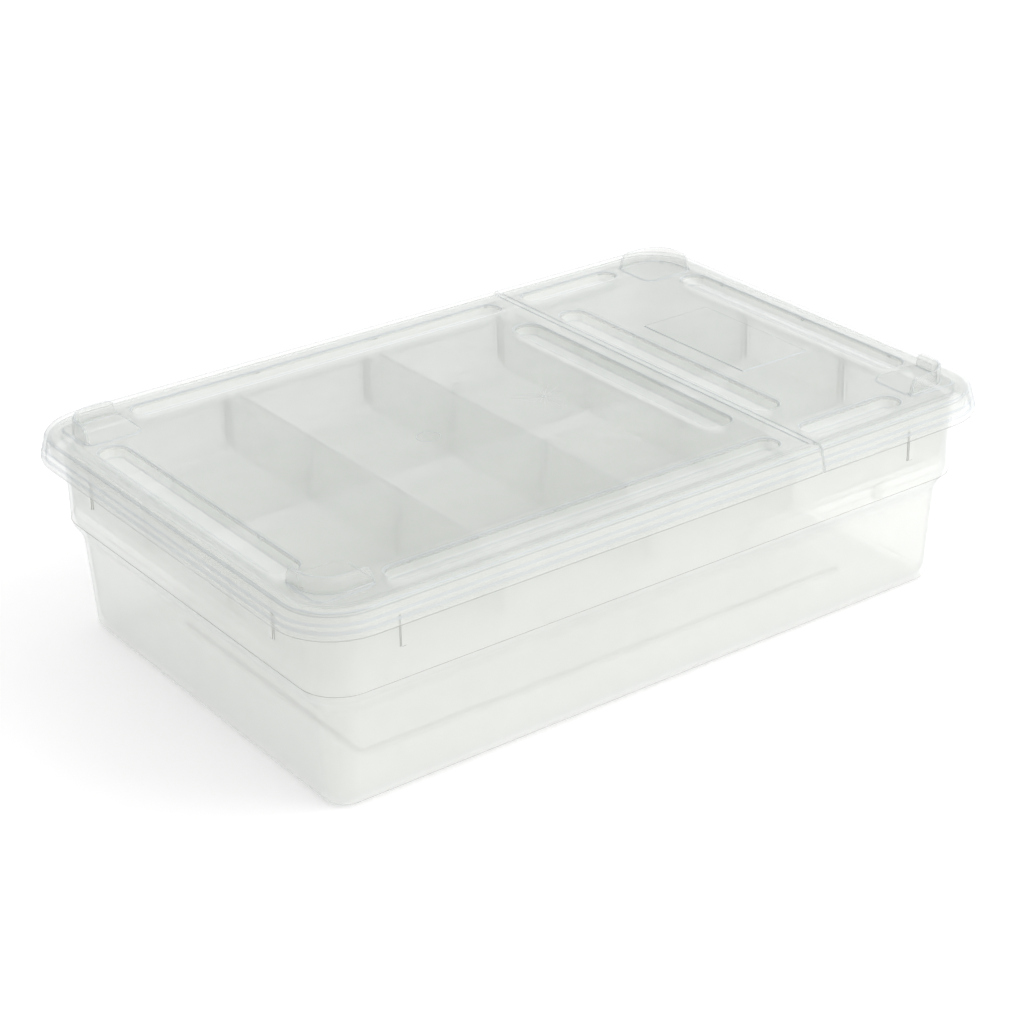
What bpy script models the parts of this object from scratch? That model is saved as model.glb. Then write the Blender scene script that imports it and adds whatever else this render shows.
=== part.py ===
"""Fishing tackle box, +Z up, standing on z = 0 with its length along X and its fold towards +X.

A stepped tub of translucent plastic holds a lift-out tray, whose interlocking dividers make twelve
cells. The lid is one moulding in two panels, joined by a thin web, so either end opens on its own.

Sizes are in millimetres, and points become metres as the meshes are made. Every wall of the tub,
the tray and the lid follows one outline, so a wall is a profile of (inset, height) pairs, where
the inset is how far it lies inside the lid's widest outline.
"""

from math import cos, pi, sin

import bmesh
import bpy
from mathutils import Vector

MM = 0.001
GAP = 0.3  # clearance between pieces that touch

# The lid's widest outline, which every inset is measured from.
LENGTH = 360.0
WIDTH = 238.0
CORNER = 28.0
LEAST_CORNER = 3.0
CORNER_STEPS = 8

# Tub: a tapering lower part, a step, an upright band, and a rim turned out and down.
WALL = 1.6
FLOOR = 2.0
FOOT_INSET = 17.4
STEP_INSET = 15.0
BAND_INSET = 10.2
STEP_BOTTOM = 43.0
STEP_TOP = 54.5
PANEL_INSET = 48.0
PANEL_RISE = 0.8
RIM_TOP = 93.0
RIM_BOTTOM = 86.0
RIM_INSET = 4.4
GUSSET_X = 134.0
GUSSET_Y = 73.0
GUSSET_SIZE = (2.4, 1.2)
GUSSET_BOTTOM = 69.0
RIM_RIB_X = (-64.0, 0.0, 64.0)
RIM_RIB_Y = (-58.0, 0.0, 58.0)
RIM_RIB = 1.2

# Tray: stands on its feet on the slope of the tub's step.
TRAY_INSET = 12.4
TRAY_WALL = 1.5
TRAY_BOTTOM = 60.0
TRAY_FLOOR = 61.4
TRAY_TOP = 87.8
TRAY_FILLET = 3.6
FOOT_X = (-138.0, -62.0, 43.0, 119.0)
FOOT_SIZE = (5.0, 2.4)
FOOT_BOTTOM = 53.6
GUIDE_SIZE = (1.2, 2.2)
GUIDE_TOP = 85.5

# Dividers: strips that interlock with half-depth slots and drop between the tray's guides.
DIVIDER = 1.5
CROSS_X = (-84.0, -9.0, 68.5)
LONG_Y = (-33.0, 35.0)
DIVIDER_BOTTOM = TRAY_FLOOR + GAP
DIVIDER_HIGH = 93.0  # under the lid's plate
DIVIDER_LOW = 87.6  # under the lid's sunk channels
SLOT_FLOOR = 77.2
DIVIDER_HEEL = 4.6  # corner cut off to clear the tray's fillet

# Lid: a plate inside a raised border, with a skirt that hangs round the tub's rim.
PLATE_TOP = 95.0
PLATE = 1.6
SKIRT_BOTTOM = 83.4
BORDER_TOP = 95.9
BORDER_INSET = 9.0
FOLD_X = 74.0
WEB_WIDTH = 3.0
WEB = 0.6
WEB_REACH = 110.7
SKIRT_GAP = 0.8

# Sunk channels with round ends: (lowest x, highest x, lowest y, highest y) of each mouth.
LONG_CHANNEL_Y = (92.5, 105.5)
END_CHANNEL_X = (153.0, 167.5)
END_CHANNEL_Y = 74.0
CHANNEL_DEPTH = 5.0
CHANNEL_WALL = 1.2
CHANNEL_DRAFT = 1.5
MAIN_CHANNELS = (
    (-134.0, 65.0, *LONG_CHANNEL_Y),
    (-134.0, 65.0, -LONG_CHANNEL_Y[1], -LONG_CHANNEL_Y[0]),
    (-END_CHANNEL_X[1], -END_CHANNEL_X[0], -END_CHANNEL_Y, END_CHANNEL_Y),
    (51.0, 66.0, -END_CHANNEL_Y, END_CHANNEL_Y),
)
FLAP_CHANNELS = (
    (79.5, 135.0, *LONG_CHANNEL_Y),
    (79.5, 135.0, -LONG_CHANNEL_Y[1], -LONG_CHANNEL_Y[0]),
    (*END_CHANNEL_X, -END_CHANNEL_Y, END_CHANNEL_Y),
    (78.0, 93.0, -END_CHANNEL_Y, END_CHANNEL_Y),
)

# Corner lugs, which locate the next box when boxes are stacked.
LUG_X = 166.8
LUG_Y = 101.8
LUG_END_X = 140.5
LUG_END_Y = 79.0
LUG_CORNER = 14.0
LUG_WALL = 1.8
LUG_TOP = 102.8
LUG_PAD_RISE = 0.5
LUG_PAD_CORNER = 6.0

# Blank label panel on the flap.
LABEL_X = (102.0, 140.0)
LABEL_Y = 35.0
LABEL_RISE = 0.4


def clear_scene():
    for obj in list(bpy.data.objects):
        bpy.data.objects.remove(obj, do_unlink=True)


def collection(name):
    made = bpy.data.collections.new(name)
    bpy.context.scene.collection.children.link(made)
    return made


def plastic(name, colour, roughness):
    material = bpy.data.materials.new(name)
    material.use_nodes = True
    shader = material.node_tree.nodes["Principled BSDF"]
    shader.inputs["Base Color"].default_value = (*colour, 1.0)
    shader.inputs["Roughness"].default_value = roughness
    shader.inputs["Metallic"].default_value = 0.0
    shader.inputs["IOR"].default_value = 1.49
    return material


# Outlines, as lists of (x, y) points in anticlockwise order


def outline(inset=0.0, size=(LENGTH, WIDTH), centre=(0.0, 0.0), corner=CORNER):
    """A rectangle with round corners, drawn `inset` inside its stated size."""
    half = Vector(size) / 2 - Vector((inset, inset))
    radius = max(corner - inset, min(LEAST_CORNER, corner))
    points = []
    for turn, (side_x, side_y) in enumerate(((1, 1), (-1, 1), (-1, -1), (1, -1))):
        for step in range(CORNER_STEPS + 1):
            angle = (turn + step / CORNER_STEPS) * pi / 2
            x = centre[0] + side_x * (half.x - radius) + radius * cos(angle)
            y = centre[1] + side_y * (half.y - radius) + radius * sin(angle)
            points.append((x, y))
    return points


def channel_outline(mouth, inset):
    """A slot with round ends. `mouth` is its opening, and a negative inset goes outside it."""
    low_x, high_x, low_y, high_y = mouth
    size = (high_x - low_x, high_y - low_y)
    flat_end = 0.4
    corner = (min(size) - flat_end) / 2
    return outline(inset, size, ((low_x + high_x) / 2, (low_y + high_y) / 2), corner)


def lug_outline(side_x, side_y, shortened, thinned):
    """A quarter-turn fin: out along one arm, round the corner, and back along its inner face."""
    end_x = LUG_END_X + shortened
    end_y = LUG_END_Y + shortened
    points = []
    for inset, backwards in ((thinned, False), (LUG_WALL - thinned, True)):
        radius = LUG_CORNER - inset
        arc = [step / CORNER_STEPS * pi / 2 for step in range(CORNER_STEPS + 1)]
        path = [(LUG_X - inset, end_y)]
        path += [
            (LUG_X - LUG_CORNER + radius * cos(a), LUG_Y - LUG_CORNER + radius * sin(a))
            for a in arc
        ]
        path += [(end_x, LUG_Y - inset)]
        points += path[::-1] if backwards else path
    return [(side_x * x, side_y * y) for x, y in points]


# Meshes


def add_loft(mesh, rings):
    """A closed body through rings of (outline, height) with as many points each, ends filled in."""
    loops = [
        [mesh.verts.new(Vector((x, y, height)) * MM) for x, y in points]
        for points, height in rings
    ]
    faces = [mesh.faces.new(loops[0][::-1]), mesh.faces.new(loops[-1])]
    for lower, upper in zip(loops, loops[1:]):
        for i in range(len(lower)):
            faces.append(mesh.faces.new((lower[i - 1], lower[i], upper[i], upper[i - 1])))
    bmesh.ops.recalc_face_normals(mesh, faces=faces)


def add_box(mesh, low, high):
    low, high = Vector(low), Vector(high)
    corners = bmesh.ops.create_cube(mesh, size=1.0)["verts"]
    bmesh.ops.scale(mesh, vec=(high - low) * MM, verts=corners)
    bmesh.ops.translate(mesh, vec=(low + high) / 2 * MM, verts=corners)


def finish_mesh(name, mesh, owner, material=None):
    data = bpy.data.meshes.new(name)
    mesh.to_mesh(data)
    mesh.free()
    obj = bpy.data.objects.new(name, data)
    owner.objects.link(obj)
    if material:
        data.materials.append(material)
    return obj


def shell(name, profile, owner, material):
    """A moulding whose walls follow the main outline. `profile` lists (inset, height) pairs."""
    mesh = bmesh.new()
    add_loft(mesh, [(outline(inset), height) for inset, height in profile])
    return finish_mesh(name, mesh, owner, material)


def tool(name, build):
    """A shape that a Boolean uses, made by build(mesh) and left out of every render."""
    mesh = bmesh.new()
    build(mesh)
    obj = finish_mesh(name, mesh, bpy.data.collections["cutters"])
    obj.hide_render = True
    obj.display_type = "WIRE"
    return obj


def boolean(target, other, operation):
    modifier = target.modifiers.new(other.name, "BOOLEAN")
    modifier.operation = operation
    modifier.solver = "EXACT"
    modifier.object = other


# Tub


def tub_profile():
    """From the raised panel under the floor, up the outside, over the rim and down inside."""
    step = ((STEP_INSET, STEP_BOTTOM), (14.4, 46.2), (12.4, 49.6), (10.8, 52.0), (BAND_INSET, STEP_TOP))
    flange = RIM_TOP - WALL
    lip_inside = RIM_INSET + WALL - 0.1
    outside = [
        (PANEL_INSET + 0.6, PANEL_RISE),
        (PANEL_INSET, 0.0),
        (FOOT_INSET + 4.0, 0.0),
        (FOOT_INSET + 1.3, 0.9),
        (FOOT_INSET, 3.6),
        *step,
        (BAND_INSET - 0.3, flange - 1.0),
        (BAND_INSET - 1.0, flange),
        (lip_inside, flange),
        (lip_inside, RIM_BOTTOM),
        (RIM_INSET, RIM_BOTTOM),
        (RIM_INSET, RIM_TOP - 0.8),
        (RIM_INSET + 0.8, RIM_TOP),
    ]
    inside = [
        (BAND_INSET - 0.3, RIM_TOP),
        (BAND_INSET + WALL - 0.3, RIM_TOP - 4.0),
        *((inset + WALL - 0.1, height + 0.7) for inset, height in reversed(step)),
        (FOOT_INSET + WALL, 6.0),
        (FOOT_INSET + WALL + 1.4, FLOOR + 1.2),
        (FOOT_INSET + WALL + 4.4, FLOOR),
        (PANEL_INSET, FLOOR),
        (PANEL_INSET + 0.6, FLOOR + PANEL_RISE),
    ]
    return outside + inside


def add_upright(mesh, at, side, along_x, spread, low_inset, high_inset, low, high):
    """A block on one side of the box: centred `at` along that side, between two insets."""
    reach = (WIDTH if along_x else LENGTH) / 2
    near, far = sorted((side * (reach - low_inset), side * (reach - high_inset)))
    corners = ((at - spread / 2, near), (at + spread / 2, far))
    (x0, y0), (x1, y1) = corners if along_x else [corner[::-1] for corner in corners]
    add_box(mesh, (x0, y0, low), (x1, y1, high))


def add_tub_ribs(mesh):
    """Gussets down the band below the rim, and short ribs that tie the rim's lip to the band."""
    top = RIM_TOP - WALL + 0.4
    for side in (-1, 1):
        for along_x, gusset_at, ribs_at in (
            (True, GUSSET_X, RIM_RIB_X),
            (False, GUSSET_Y, RIM_RIB_Y),
        ):
            for at in (-gusset_at, gusset_at):
                width, proud = GUSSET_SIZE
                insets = (BAND_INSET + 0.8, BAND_INSET - proud)
                add_upright(mesh, at, side, along_x, width, *insets, GUSSET_BOTTOM, top)
            for at in ribs_at:
                insets = (BAND_INSET + 0.4, RIM_INSET + 0.8)
                add_upright(mesh, at, side, along_x, RIM_RIB, *insets, RIM_BOTTOM + 0.8, top)


def make_tub(owner):
    tub = shell("tub", tub_profile(), owner, plastic("tub_plastic", (0.83, 0.85, 0.84), 0.32))
    boolean(tub, tool("tub_ribs", add_tub_ribs), "UNION")
    return tub


# Tray


def tray_profile():
    inside = TRAY_INSET + TRAY_WALL
    fillet = [
        (inside + TRAY_FILLET * (1 - cos(a)), TRAY_FLOOR + TRAY_FILLET * (1 - sin(a)))
        for a in (0.0, pi / 6, pi / 3, pi / 2)
    ]
    return [
        (TRAY_INSET + 1.6, TRAY_BOTTOM),
        (TRAY_INSET + 0.4, TRAY_BOTTOM + 0.4),
        (TRAY_INSET, TRAY_BOTTOM + 1.6),
        (TRAY_INSET, TRAY_TOP),
        (inside, TRAY_TOP),
        *fillet,
    ]


def add_tray_feet(mesh):
    half = FOOT_SIZE[0] / 2
    face = WIDTH / 2 - TRAY_INSET - 0.1
    for side in (-1, 1):
        for x in FOOT_X:
            near, far = sorted((side * face, side * (face - FOOT_SIZE[1])))
            add_box(mesh, (x - half, near, FOOT_BOTTOM), (x + half, far, TRAY_BOTTOM + 1.0))


def add_guides(mesh):
    """Pairs of ribs on the tray's walls, which hold the ends of the dividers."""
    width, reach = GUIDE_SIZE
    wall_x = LENGTH / 2 - TRAY_INSET - TRAY_WALL
    wall_y = WIDTH / 2 - TRAY_INSET - TRAY_WALL
    offset = DIVIDER / 2 + GAP
    for side in (-1, 1):
        for beside in (-offset - width, offset):
            near, far = sorted((side * (wall_y - reach), side * (wall_y + TRAY_WALL / 2)))
            for x in CROSS_X:
                add_box(
                    mesh,
                    (x + beside, near, TRAY_FLOOR - 0.5),
                    (x + beside + width, far, GUIDE_TOP),
                )
            near, far = sorted((side * (wall_x - reach), side * (wall_x + TRAY_WALL / 2)))
            for y in LONG_Y:
                add_box(
                    mesh,
                    (near, y + beside, TRAY_FLOOR - 0.5),
                    (far, y + beside + width, GUIDE_TOP),
                )


def make_tray(owner):
    tray = shell("tray", tray_profile(), owner, plastic("tray_plastic", (0.80, 0.83, 0.82), 0.38))
    boolean(tray, tool("tray_guides", add_guides), "UNION")
    boolean(tray, tool("tray_feet", add_tray_feet), "UNION")
    return tray


# Dividers


def with_slots(edge, centres, depth):
    """The edge, given as (start, end, height) stretches, with a slot let in at each centre."""
    half = DIVIDER / 2 + GAP
    for centre in centres:
        opened = []
        for start, end, height in edge:
            if start < centre - half and centre + half < end:
                opened += [
                    (start, centre - half, height),
                    (centre - half, centre + half, depth),
                    (centre + half, end, height),
                ]
            else:
                opened.append((start, end, height))
        edge = opened
    return edge


def divider(name, owner, material, top, bottom, turn, place):
    """A flat strip between two edges, each a list of (start, end, height) stretches."""
    start, end = bottom[0][0], bottom[-1][1]
    points = [(start, DIVIDER_BOTTOM + DIVIDER_HEEL)]
    for i, (low, high, height) in enumerate(bottom):
        first = low + DIVIDER_HEEL if i == 0 else low
        last = high - DIVIDER_HEEL if i == len(bottom) - 1 else high
        points += [(first, height), (last, height)]
    points.append((end, DIVIDER_BOTTOM + DIVIDER_HEEL))
    for low, high, height in reversed(top):
        points += [(high, height), (low, height)]

    curve = bpy.data.curves.new(name, "CURVE")
    curve.dimensions = "2D"
    curve.fill_mode = "BOTH"
    curve.extrude = DIVIDER / 2 * MM
    spline = curve.splines.new("POLY")
    spline.points.add(len(points) - 1)
    spline.use_cyclic_u = True
    for point, (along, height) in zip(spline.points, points):
        point.co = (along * MM, height * MM, 0.0, 1.0)
    curve.materials.append(material)
    obj = bpy.data.objects.new(name, curve)
    obj.location = Vector(place) * MM
    obj.rotation_euler = (pi / 2, 0.0, turn)
    owner.objects.link(obj)
    return obj


def make_dividers(owner, tray):
    material = plastic("divider_plastic", (0.81, 0.84, 0.83), 0.35)
    end_x = LENGTH / 2 - TRAY_INSET - TRAY_WALL - GAP
    end_y = WIDTH / 2 - TRAY_INSET - TRAY_WALL - GAP
    clear = CHANNEL_WALL + 1.0
    high_x = END_CHANNEL_X[0] - clear
    high_y = LONG_CHANNEL_Y[0] - clear
    fold_low = MAIN_CHANNELS[-1][0] - clear
    fold_high = FLAP_CHANNELS[-1][1] + clear

    long_top = [
        (-end_x, -high_x, DIVIDER_LOW),
        (-high_x, fold_low, DIVIDER_HIGH),
        (fold_low, fold_high, DIVIDER_LOW),
        (fold_high, high_x, DIVIDER_HIGH),
        (high_x, end_x, DIVIDER_LOW),
    ]
    long_top = with_slots(long_top, CROSS_X, SLOT_FLOOR)
    long_bottom = [(-end_x, end_x, DIVIDER_BOTTOM)]
    for number, y in enumerate(LONG_Y, 1):
        name = f"long_divider_{number}"
        strip = divider(name, owner, material, long_top, long_bottom, 0.0, (0, y, 0))
        strip.parent = tray

    cross_top = [
        (-end_y, -high_y, DIVIDER_LOW),
        (-high_y, high_y, DIVIDER_HIGH),
        (high_y, end_y, DIVIDER_LOW),
    ]
    cross_bottom = with_slots([(-end_y, end_y, DIVIDER_BOTTOM)], LONG_Y, SLOT_FLOOR + GAP)
    for number, x in enumerate(CROSS_X, 1):
        name = f"cross_divider_{number}"
        strip = divider(name, owner, material, cross_top, cross_bottom, pi / 2, (x, 0, 0))
        strip.parent = tray


# Lid


def lid_profile():
    """From the underside of the plate, out and down inside the skirt, then up to the plate's top."""
    plate_bottom = PLATE_TOP - PLATE
    inside = [
        (BORDER_INSET, plate_bottom),
        (6.8, 94.2),
        (4.6, 94.2),
        (3.6, 92.8),
        (3.0, 90.4),
        (2.2, 87.6),
        (2.0, SKIRT_BOTTOM + 0.8),
        (2.2, SKIRT_BOTTOM),
    ]
    bead = [
        (0.7, SKIRT_BOTTOM),
        (0.1, SKIRT_BOTTOM + 0.7),
        (0.0, SKIRT_BOTTOM + 2.2),
        (0.3, SKIRT_BOTTOM + 3.6),
        (0.9, SKIRT_BOTTOM + 4.1),
        (0.8, SKIRT_BOTTOM + 5.0),
        (1.1, SKIRT_BOTTOM + 6.6),
        (1.6, SKIRT_BOTTOM + 7.1),
    ]
    shoulder = [
        (1.9, 93.2),
        (2.7, 94.9),
        (4.2, 95.7),
        (6.0, BORDER_TOP),
        (BORDER_INSET - 1.2, 95.4),
        (BORDER_INSET, PLATE_TOP),
    ]
    return inside + bead + shoulder


def add_channel_bodies(channels):
    """The outsides of the sunk channels, which hang below the plate."""
    foot = PLATE_TOP - CHANNEL_DEPTH - CHANNEL_WALL

    def build(mesh):
        for mouth in channels:
            add_loft(
                mesh,
                [
                    (channel_outline(mouth, CHANNEL_DRAFT + 0.6 - CHANNEL_WALL), foot),
                    (channel_outline(mouth, CHANNEL_DRAFT - 0.2 - CHANNEL_WALL), foot + 0.9),
                    (channel_outline(mouth, -CHANNEL_WALL), PLATE_TOP - PLATE / 2),
                ],
            )

    return build


def add_channel_hollows(channels):
    floor = PLATE_TOP - CHANNEL_DEPTH

    def build(mesh):
        for mouth in channels:
            add_loft(
                mesh,
                [
                    (channel_outline(mouth, CHANNEL_DRAFT + 0.7), floor),
                    (channel_outline(mouth, CHANNEL_DRAFT - 0.1), floor + 0.9),
                    (channel_outline(mouth, 0.5), PLATE_TOP - 0.5),
                    (channel_outline(mouth, 0.0), PLATE_TOP),
                    (channel_outline(mouth, 0.0), PLATE_TOP + 2.0),
                ],
            )

    return build


def add_lugs(side_x):
    """The two fins at one end. They narrow and shorten towards their rounded tops."""
    levels = (
        (PLATE_TOP - PLATE / 2, 0.0, 0.0),
        (LUG_TOP - 3.0, 0.9, 0.1),
        (LUG_TOP - 0.9, 2.2, 0.2),
        (LUG_TOP, 4.4, 0.5),
    )

    def build(mesh):
        for side_y in (-1, 1):
            rings = [
                (lug_outline(side_x, side_y, shortened, thinned), height)
                for height, shortened, thinned in levels
            ]
            add_loft(mesh, rings)

    return build


def add_lug_pads(side_x):
    """The slightly raised pads that the fins stand on."""
    size = (LUG_X - LUG_END_X + 2.0, LUG_Y - LUG_END_Y + 4.0)
    centre_x = side_x * (LUG_X + LUG_END_X) / 2
    centre_y = (LUG_Y + LUG_END_Y) / 2

    def build(mesh):
        for side_y in (-1, 1):
            centre = (centre_x, side_y * centre_y)
            levels = ((0.0, PLATE_TOP - PLATE / 2), (0.0, PLATE_TOP), (0.3, PLATE_TOP + LUG_PAD_RISE))
            rings = [
                (outline(inset, size, centre, LUG_PAD_CORNER), height)
                for inset, height in levels
            ]
            add_loft(mesh, rings)

    return build


def add_far_side(direction, margin, reach):
    """Everything beyond a line `margin` short of the fold, as far out to each side as `reach`."""

    def build(mesh):
        low, high = sorted((FOLD_X - direction * margin, FOLD_X + direction * LENGTH))
        add_box(mesh, (low, -reach, RIM_BOTTOM - 20.0), (high, reach, LUG_TOP + 20.0))

    return build


def lid_panel(name, owner, direction, channels):
    """One of the lid's two panels. `direction` is which way along X the other panel lies."""
    panel = shell(name, lid_profile(), owner, plastic(f"{name}_plastic", (0.78, 0.81, 0.80), 0.3))
    boolean(panel, tool(f"{name}_channel_bodies", add_channel_bodies(channels)), "UNION")
    boolean(panel, tool(f"{name}_channel_hollows", add_channel_hollows(channels)), "DIFFERENCE")
    boolean(panel, tool(f"{name}_lug_pads", add_lug_pads(-direction)), "UNION")
    boolean(panel, tool(f"{name}_lugs", add_lugs(-direction)), "UNION")
    beyond_skirt = add_far_side(direction, SKIRT_GAP / 2, WIDTH)
    boolean(panel, tool(f"{name}_beyond_skirt", beyond_skirt), "DIFFERENCE")
    beyond_web = add_far_side(direction, WEB_WIDTH / 2 + GAP, WEB_REACH + GAP)
    boolean(panel, tool(f"{name}_beyond_web", beyond_web), "DIFFERENCE")
    return panel


def add_label(mesh):
    """The raised blank label panel on the flap."""
    add_box(
        mesh,
        (LABEL_X[0], -LABEL_Y, PLATE_TOP - PLATE / 2),
        (LABEL_X[1], LABEL_Y, PLATE_TOP + LABEL_RISE),
    )


def hinge_line(name, x, owner):
    """An empty on a panel's fold line, at the top of the plate, that the panel turns about."""
    line = bpy.data.objects.new(name, None)
    line.location = Vector((x, 0.0, PLATE_TOP)) * MM
    owner.objects.link(line)
    return line


def ride_on(obj, parent):
    obj.parent = parent
    obj.matrix_parent_inverse = parent.matrix_world.inverted()


def make_lid(owner):
    main = lid_panel("lid_main_panel", owner, 1, MAIN_CHANNELS)
    flap = lid_panel("lid_flap", owner, -1, FLAP_CHANNELS)
    boolean(flap, tool("flap_label", add_label), "UNION")

    mesh = bmesh.new()
    half = WEB_WIDTH / 2
    add_box(
        mesh,
        (FOLD_X - half, -WEB_REACH, PLATE_TOP - WEB),
        (FOLD_X + half, WEB_REACH, PLATE_TOP - 0.05),
    )
    web = finish_mesh("hinge_web", mesh, owner, plastic("web_plastic", (0.86, 0.88, 0.87), 0.3))

    for panel, edge in ((main, -half), (flap, half)):
        line = hinge_line(f"{panel.name}_fold", FOLD_X + edge, owner)
        bpy.context.view_layer.update()
        ride_on(panel, line)
        ride_on(line, web)


def main():
    clear_scene()
    owner = collection("fishing_tackle_box")
    collection("cutters")
    make_tub(owner)
    tray = make_tray(owner)
    make_dividers(owner, tray)
    make_lid(owner)


main()
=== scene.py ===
"""A translucent tackle box with a divided lift-out tray and a folding two-panel lid, on a white table."""
import math

import bpy
from mathutils import Matrix, Vector


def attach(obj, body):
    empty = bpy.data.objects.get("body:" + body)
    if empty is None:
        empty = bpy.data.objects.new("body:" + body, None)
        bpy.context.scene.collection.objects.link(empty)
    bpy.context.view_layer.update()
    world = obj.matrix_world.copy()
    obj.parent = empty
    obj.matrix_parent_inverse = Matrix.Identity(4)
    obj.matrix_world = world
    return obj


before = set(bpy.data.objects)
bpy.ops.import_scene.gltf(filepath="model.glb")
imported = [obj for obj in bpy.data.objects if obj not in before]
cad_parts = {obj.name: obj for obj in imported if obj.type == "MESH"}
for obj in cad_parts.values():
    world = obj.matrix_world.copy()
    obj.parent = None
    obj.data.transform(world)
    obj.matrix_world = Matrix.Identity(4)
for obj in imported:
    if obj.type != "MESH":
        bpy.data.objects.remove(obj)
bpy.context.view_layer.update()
MM = 0.001

# The moulded shells' edges
WELD = 0.01 * MM
CREASE_ANGLE = math.radians(28)
CHAMFER = 0.35 * MM

# What lies low on a piece gets another colour: (colour, height, (reach along X, reach along Y))
# Painted light: the lid's channel floors are coloured lighter than its plate.
PAINTED_LIGHT_CHANNELS = ((0.99, 1.0, 0.99), 93.3 * MM, (169 * MM, 107 * MM))
# Painted shade: edges and beads low on the box are coloured darker, for the dark lines along them.
PAINTED_SHADE_LOW_EDGES = ((0.40, 0.39, 0.37), 84.4 * MM, (200 * MM, 200 * MM))

# Polypropylene by kind of piece: (colour, haze, roughness, gloss, what lies low). The pieces are one
# plastic. The greenish tint is its own, but the brightness differs by piece as painted light and shade:
# lighter on the tub, darker on the lid and tray, where more layers lie behind.
LIT_AND_SHADED_LOOKS = {
    "divider": ((0.81, 0.83, 0.795), 0.42, 0.38, 0.12, None),
    "tub": ((0.955, 0.965, 0.935), 0.43, 0.38, 0.12, None),
    "tray": ((0.76, 0.78, 0.745), 0.38, 0.38, 0.12, None),
    "lid": ((0.70, 0.715, 0.69), 0.31, 0.36, 0.15, PAINTED_LIGHT_CHANNELS),
    "web": ((0.80, 0.815, 0.80), 0.42, 0.36, 0.15, None),
}
# The edges' plastic is darker than the walls': painted shade for the dark lines that refraction draws
# along the plastic's edges.
EDGE_SHADE_LOOK = ((0.58, 0.61, 0.64), 0.50, 0.36, 0.12, PAINTED_SHADE_LOW_EDGES)
PLASTIC_IOR = 1.49
CLEAR_TINT = (0.998, 0.9995, 0.996, 1)

# The plastic's slight unevenness
CLOUD_SCALE = 30
CLOUD_DETAIL = 2
CLOUD_RANGE = (0.3, 0.7)
DARKEST_MOTTLE = 0.985
ROUGHNESS_SPREAD = 0.05
HAZE_SPREAD = 0.01

# Gloss of one face: a little head on, more at a glancing angle
LEAST_GLOSS = 0.02
GLOSS_POWER = 4.0
SHINE_ROUGHNESS = 0.5

# More haze and absorption where light crosses a wall at a slant
SLANT_POWER = 5.0
SLANT_HAZE = 0.45
SLANT_TINT = (0.62, 0.66, 0.69, 1)

# The lid's widest outline, its plate and its fold
LID_HALF = (180 * MM, 119 * MM)
LID_CORNER = 28 * MM
PLATE_TOP = 95.0 * MM
FOLD_X = 74 * MM

# Moulding marks on the lid: (name, centre, width along X, width along Y)
RING_BEAD = 0.16 * MM
RING_STEPS = 32
RING_MARKS = (
    ("ejector_ring", (-48 * MM, -4 * MM, PLATE_TOP), 10.4 * MM, 10.4 * MM),
    ("corner_ring", (160.5 * MM, 93.5 * MM, 96.3 * MM), 2.2 * MM, 3.6 * MM),
)
GATE = (16 * MM, -1 * MM, PLATE_TOP)
GATE_WIDTH = 1.6 * MM
STAR_BEAD = 0.05 * MM
STAR_RAYS = 26
STAR_START = 1.6 * MM
STAR_REACH = 13 * MM
STAR_BOW = 0.06

# Beads along the tub's step: (name, how far in from the lid's outline, height). They are painted shade,
# dark lines standing in for the light and dark lines along the step's edge; the box has an edge there,
# not a bead.
CORNER_STEPS = 13
STEP_BEAD = 0.16 * MM
STEP_SHADE_BEADS = (
    ("step_top_shade_bead", 10.2 * MM, 54.5 * MM),
    ("step_inner_shade_bead", 11.75 * MM, 57.0 * MM),
)

# The camera, aimed near the middle of the box
AIM = Vector((-2, 0, 43.7)) * MM
CAMERA_AZIMUTH = -36.02
CAMERA_ELEVATION = 26.02
CAMERA_ROLL = -1.22
CAMERA_DISTANCE = 1.138
CAMERA_CLIP = (0.05, 20)
LENS = 90.0
SENSOR = 36.0

# The studio: the sky as (height, brightness), and its share at the left and at the right
FLOOR_SIZE = 12
FLOOR_COLOUR = (0.86, 0.86, 0.86, 1)
FLOOR_ROUGHNESS = 0.9
TABLE_GLOW = 0.17
SKY = ((0.0, 0.76), (0.12, 0.92), (0.5, 1.13), (1.0, 1.17))
SIDES = (0.67, 1.08)
KEY_PLACE = (1.0, -1.1, 1.4)
KEY_POWER = 12
KEY_SIZE = 1.2
MOST_BOUNCES = 24
MOST_DIFFUSE = 3
MOST_GLOSSY = 2
MOST_CLEAR_FACES = 64


def new_material(name):
    material = bpy.data.materials.new(name)
    material.use_nodes = True
    return material, material.node_tree.nodes, material.node_tree.links


def math_node(nodes, operation, *values):
    node = nodes.new("ShaderNodeMath")
    node.operation = operation
    for socket, value in zip(node.inputs, values):
        if value is not None:
            socket.default_value = value
    return node


def map_range(nodes, links, value, start, end):
    """The value, with the pair in start mapped on to the pair in end."""
    node = nodes.new("ShaderNodeMapRange")
    for name, number in zip(("From Min", "From Max", "To Min", "To Max"), (*start, *end)):
        node.inputs[name].default_value = number
    links.new(value, node.inputs["Value"])
    return node.outputs["Result"]


def mix_colours(nodes, links, share, colour, other):
    """colour where share is 0, turning to other where it is 1. colour may be a socket."""
    node = nodes.new("ShaderNodeMix")
    node.data_type = "RGBA"
    node.inputs["B"].default_value = other
    links.new(share, node.inputs["Factor"])
    if isinstance(colour, tuple):
        node.inputs["A"].default_value = colour
    else:
        links.new(colour, node.inputs["A"])
    return node.outputs["Result"]


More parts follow.
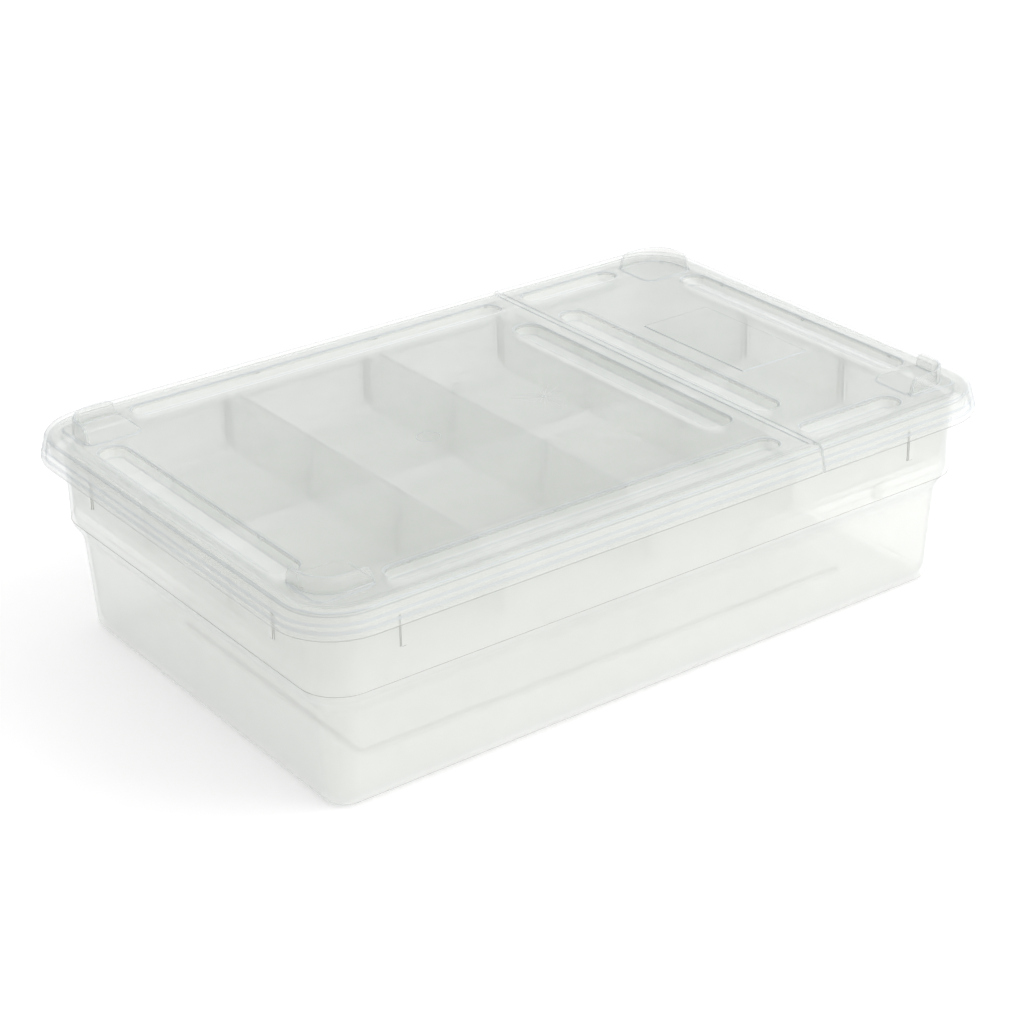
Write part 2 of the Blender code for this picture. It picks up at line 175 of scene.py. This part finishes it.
def low_down(nodes, links, place, height, reach):
    """1 under the height and within the reach of the middle along X and Y, else 0."""
    apart = nodes.new("ShaderNodeSeparateXYZ")
    links.new(place, apart.inputs["Vector"])
    share = None
    for axis, limit in zip("XYZ", (*reach, height)):
        far = math_node(nodes, "ABSOLUTE")
        test = math_node(nodes, "LESS_THAN", None, limit)
        links.new(apart.outputs[axis], far.inputs[0])
        links.new(far.outputs["Value"], test.inputs[0])
        if share:
            both = math_node(nodes, "MULTIPLY")
            links.new(share, both.inputs[0])
            links.new(test.outputs["Value"], both.inputs[1])
            test = both
        share = test.outputs["Value"]
    return share


def skin_of(nodes, links, colour, roughness, mottle, place, low_painted_tone):
    """The plastic's scattering part."""
    body = nodes["Principled BSDF"]
    body.inputs["IOR"].default_value = PLASTIC_IOR
    dark = (*[DARKEST_MOTTLE * c for c in colour], 1)
    evenness = map_range(nodes, links, mottle, CLOUD_RANGE, (0, 1))
    shown = mix_colours(nodes, links, evenness, dark, (*colour, 1))
    # Low parts take another colour: painted light on the lid's channel floors, painted shade on the low
    # edges and beads.
    if low_painted_tone:
        other, height, reach = low_painted_tone
        share = low_down(nodes, links, place, height, reach)
        shown = mix_colours(nodes, links, share, shown, (*other, 1))
    links.new(shown, body.inputs["Base Color"])
    ends = (roughness - ROUGHNESS_SPREAD, roughness + ROUGHNESS_SPREAD)
    links.new(map_range(nodes, links, mottle, CLOUD_RANGE, ends), body.inputs["Roughness"])
    return body.outputs["BSDF"]


def wall_of(nodes, links, body, haze, mottle, facing):
    """A wall scatters once, where light enters it, and more where its path through the wall slants."""
    slant = math_node(nodes, "POWER", None, SLANT_POWER)
    links.new(facing, slant.inputs[0])
    clear = nodes.new("ShaderNodeBsdfTransparent")
    absorbed = mix_colours(nodes, links, slant.outputs["Value"], CLEAR_TINT, SLANT_TINT)
    links.new(absorbed, clear.inputs["Color"])

    longer = math_node(nodes, "MULTIPLY_ADD", None, SLANT_HAZE)
    ends = (haze - HAZE_SPREAD, haze + HAZE_SPREAD)
    links.new(slant.outputs["Value"], longer.inputs[0])
    links.new(map_range(nodes, links, mottle, CLOUD_RANGE, ends), longer.inputs[2])
    side = nodes.new("ShaderNodeNewGeometry")
    entering = math_node(nodes, "SUBTRACT", 1)
    scattered = math_node(nodes, "MULTIPLY")
    links.new(side.outputs["Backfacing"], entering.inputs[1])
    links.new(longer.outputs["Value"], scattered.inputs[0])
    links.new(entering.outputs["Value"], scattered.inputs[1])

    wall = nodes.new("ShaderNodeMixShader")
    links.new(scattered.outputs["Value"], wall.inputs["Fac"])
    links.new(clear.outputs["BSDF"], wall.inputs[1])
    links.new(body, wall.inputs[2])
    return wall.outputs["Shader"]


def glossed(nodes, links, wall, roughness, gloss, facing):
    shine = nodes.new("ShaderNodeBsdfGlossy")
    shine.inputs["Roughness"].default_value = SHINE_ROUGHNESS * roughness
    steep = math_node(nodes, "POWER", None, GLOSS_POWER)
    share = math_node(nodes, "MULTIPLY_ADD", None, gloss, LEAST_GLOSS)
    skin = nodes.new("ShaderNodeMixShader")
    links.new(facing, steep.inputs[0])
    links.new(steep.outputs["Value"], share.inputs[0])
    links.new(share.outputs["Value"], skin.inputs["Fac"])
    links.new(wall, skin.inputs[1])
    links.new(shine.outputs["BSDF"], skin.inputs[2])
    return skin.outputs["Shader"]


def plastic(name, colour, haze, roughness, gloss, low_painted_tone):
    """Translucent polypropylene: each wall lets some light straight through, and scatters the rest."""
    material, nodes, links = new_material(name)
    place = nodes.new("ShaderNodeTexCoord").outputs["Object"]
    cloud = nodes.new("ShaderNodeTexNoise")
    cloud.inputs["Scale"].default_value = CLOUD_SCALE
    cloud.inputs["Detail"].default_value = CLOUD_DETAIL
    links.new(place, cloud.inputs["Vector"])
    mottle = cloud.outputs["Fac"]
    facing = nodes.new("ShaderNodeLayerWeight").outputs["Facing"]

    body = skin_of(nodes, links, colour, roughness, mottle, place, low_painted_tone)
    wall = wall_of(nodes, links, body, haze, mottle, facing)
    surface = glossed(nodes, links, wall, roughness, gloss, facing)
    links.new(surface, nodes["Material Output"].inputs["Surface"])
    return material


def smooth_shell():
    """A modifier group that shades all but a shell's sharp edges smooth."""
    group = bpy.data.node_groups.new("smooth_shell", "GeometryNodeTree")
    group.interface.new_socket("Geometry", in_out="INPUT", socket_type="NodeSocketGeometry")
    group.interface.new_socket("Geometry", in_out="OUTPUT", socket_type="NodeSocketGeometry")
    nodes, links = group.nodes, group.links
    start, end = nodes.new("NodeGroupInput"), nodes.new("NodeGroupOutput")
    all_smooth = nodes.new("GeometryNodeSetShadeSmooth")
    sharp = nodes.new("GeometryNodeSetShadeSmooth")
    sharp.domain = "EDGE"
    sharp.inputs["Shade Smooth"].default_value = False
    angle = nodes.new("GeometryNodeInputMeshEdgeAngle")
    over = nodes.new("FunctionNodeCompare")
    over.operation = "GREATER_THAN"
    over.inputs["B"].default_value = CREASE_ANGLE
    links.new(angle.outputs["Unsigned Angle"], over.inputs["A"])
    links.new(over.outputs["Result"], sharp.inputs["Selection"])
    links.new(start.outputs[0], all_smooth.inputs["Geometry"])
    links.new(all_smooth.outputs["Geometry"], sharp.inputs["Geometry"])
    links.new(sharp.outputs["Geometry"], end.inputs[0])
    return group


def soften(node, shading):
    """Joins the shell's split faces, breaks its sharp edges with a fine chamfer, and shades it smooth."""
    split_normals = node.data.attributes.get("custom_normal")
    if split_normals:
        node.data.attributes.remove(split_normals)
    weld = node.modifiers.new("weld", "WELD")
    weld.merge_threshold = WELD
    chamfer = node.modifiers.new("chamfer", "BEVEL")
    chamfer.width = CHAMFER
    chamfer.segments = 1
    chamfer.limit_method = "ANGLE"
    chamfer.angle_limit = CREASE_ANGLE
    chamfer.use_clamp_overlap = False
    # The chamfer faces take the second slot, the edge plastic with its painted shade.
    chamfer.material = 1
    node.modifiers.new("shading", "NODES").node_group = shading
    node.modifiers.new("flat_faces", "WEIGHTED_NORMAL").keep_sharp = True


def finish_shells(edge):
    shading = smooth_shell()
    # Each kind's colour carries painted light and shade, lighter or darker by piece.
    lit_and_shaded_looks = {kind: plastic(f"{kind}_translucent", *look) for kind, look in LIT_AND_SHADED_LOOKS.items()}
    for name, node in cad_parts.items():
        kind = next(key for key in lit_and_shaded_looks if key in name)
        node.data.materials.clear()
        node.data.materials.append(lit_and_shaded_looks[kind])
        node.data.materials.append(edge)
        soften(node, shading)


def bead_piece(name, material, depth, body, lines, closed):
    """A piece made of round beads of this depth along lines of points, riding on a body."""
    curve = bpy.data.curves.new(name, "CURVE")
    curve.dimensions = "3D"
    curve.bevel_depth = depth
    curve.bevel_resolution = 2
    curve.use_fill_caps = True
    curve.materials.append(material)
    for line in lines:
        spline = curve.splines.new("POLY")
        spline.points.add(len(line) - 1)
        for point, place in zip(spline.points, line):
            point.co = (*place, 1)
        spline.use_cyclic_u = closed
    piece = bpy.data.objects.new(name, curve)
    bpy.context.scene.collection.objects.link(piece)
    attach(piece, body)


def step_shade_bead(name, material, inset, height):
    """A fine bead round the tub, along an edge of its step: a dark line of painted shade."""
    radius = LID_CORNER - inset
    loop = []
    for quarter in range(4):
        side_x = 1 if quarter in (0, 3) else -1
        side_y = 1 if quarter in (0, 1) else -1
        for n in range(CORNER_STEPS):
            turn = math.tau / 4 * (quarter + n / (CORNER_STEPS - 1))
            x = side_x * (LID_HALF[0] - LID_CORNER) + radius * math.cos(turn)
            y = side_y * (LID_HALF[1] - LID_CORNER) + radius * math.sin(turn)
            loop.append((x, y, height))
    bead_piece(name, material, STEP_BEAD, "tub", [loop], closed=True)


def ring_mark(name, material, centre, across, along):
    """The raised ring that an ejector pin or the gate leaves."""
    x, y, z = centre
    turns = [math.tau * n / RING_STEPS for n in range(RING_STEPS)]
    ring = [(x + across / 2 * math.cos(a), y + along / 2 * math.sin(a), z) for a in turns]
    body = "lid_main" if x < FOLD_X else "lid_flap"
    bead_piece(name, material, RING_BEAD, body, [ring], closed=True)


def gate_star(material):
    """The faint flow lines that run out from the gate."""
    rays = []
    for n in range(STAR_RAYS):
        angle = math.tau * (n + 0.3 * math.sin(5 * n)) / STAR_RAYS
        reach = STAR_REACH * (0.65 + 0.35 * math.sin(7 * n))
        out = Vector((math.cos(angle), math.sin(angle), 0))
        bow = Vector((-out.y, out.x, 0)) * STAR_BOW * reach * math.sin(3 * n)
        start = Vector(GATE) + out * STAR_START
        rays.append([start, start + out * reach / 2 + bow, start + out * reach])
    bead_piece("gate_star", material, STAR_BEAD, "lid_main", rays, closed=False)


def add_details(edge):
    for name, inset, height in STEP_SHADE_BEADS:
        step_shade_bead(name, edge, inset, height)
    for name, centre, across, along in RING_MARKS:
        ring_mark(name, edge, centre, across, along)
    gate_star(edge)
    ring_mark("gate_stub", edge, GATE, GATE_WIDTH, GATE_WIDTH)


def white_table():
    """A pale floor with a slight glow of its own, which softens the shadow under the box."""
    bpy.ops.mesh.primitive_grid_add(x_subdivisions=8, y_subdivisions=8, size=FLOOR_SIZE)
    floor = bpy.context.object
    floor.name = "floor"
    material, nodes, _ = new_material("white_table")
    surface = nodes["Principled BSDF"].inputs
    surface["Base Color"].default_value = FLOOR_COLOUR
    surface["Emission Color"].default_value = (1, 1, 1, 1)
    surface["Emission Strength"].default_value = TABLE_GLOW
    surface["Roughness"].default_value = FLOOR_ROUGHNESS
    floor.data.materials.append(material)


def soft_sky():
    """A light tent: bright overhead and to the right, and dimmer towards the horizon and the left."""
    world = bpy.data.worlds.new("studio")
    bpy.context.scene.world = world
    world.use_nodes = True
    nodes, links = world.node_tree.nodes, world.node_tree.links
    place = nodes.new("ShaderNodeTexCoord")
    way = nodes.new("ShaderNodeSeparateXYZ")
    ramp = nodes.new("ShaderNodeValToRGB")
    stops = ramp.color_ramp.elements
    while len(stops) < len(SKY):
        stops.new(0.5)
    most = max(level for _, level in SKY)
    for stop, (at, level) in zip(stops, SKY):
        stop.position = at
        stop.color = (*[level / most] * 3, 1)
    links.new(place.outputs["Generated"], way.inputs["Vector"])
    links.new(way.outputs["Z"], ramp.inputs["Fac"])
    sides = [most * share for share in SIDES]
    strength = map_range(nodes, links, way.outputs["X"], (-1, 1), sides)
    links.new(strength, nodes["Background"].inputs["Strength"])
    links.new(ramp.outputs["Color"], nodes["Background"].inputs["Color"])


def key_light():
    light = bpy.data.objects.new("key", bpy.data.lights.new("key", "AREA"))
    bpy.context.scene.collection.objects.link(light)
    light.data.energy, light.data.size = KEY_POWER, KEY_SIZE
    turn = (Vector(KEY_PLACE) - AIM).to_track_quat("Z", "Y").to_matrix().to_4x4()
    light.matrix_world = Matrix.Translation(KEY_PLACE) @ turn


def render_depth():
    """Enough bounces for light to cross every wall of the closed box."""
    scene = bpy.context.scene
    scene.view_settings.view_transform = "Standard"
    scene.cycles.max_bounces = MOST_BOUNCES
    scene.cycles.diffuse_bounces = MOST_DIFFUSE
    scene.cycles.glossy_bounces = MOST_GLOSSY
    scene.cycles.transparent_max_bounces = MOST_CLEAR_FACES


def studio_camera():
    azimuth, elevation = math.radians(CAMERA_AZIMUTH), math.radians(CAMERA_ELEVATION)
    level = Vector((math.sin(azimuth), -math.cos(azimuth), 0)) * math.cos(elevation)
    back = level + Vector((0, 0, math.sin(elevation)))
    camera = bpy.data.objects.new("camera", bpy.data.cameras.new("camera"))
    bpy.context.scene.collection.objects.link(camera)
    camera.data.lens, camera.data.sensor_width = LENS, SENSOR
    camera.data.clip_start, camera.data.clip_end = CAMERA_CLIP
    turn = (-back).to_track_quat("-Z", "Y").to_matrix()
    turn = turn @ Matrix.Rotation(math.radians(CAMERA_ROLL), 3, "Z")
    camera.matrix_world = Matrix.Translation(AIM + back * CAMERA_DISTANCE) @ turn.to_4x4()
    bpy.context.scene.camera = camera


edge_shade_plastic = plastic("edge_shade_translucent", *EDGE_SHADE_LOOK)
finish_shells(edge_shade_plastic)
add_details(edge_shade_plastic)
white_table()
soft_sky()
key_light()
render_depth()
studio_camera()
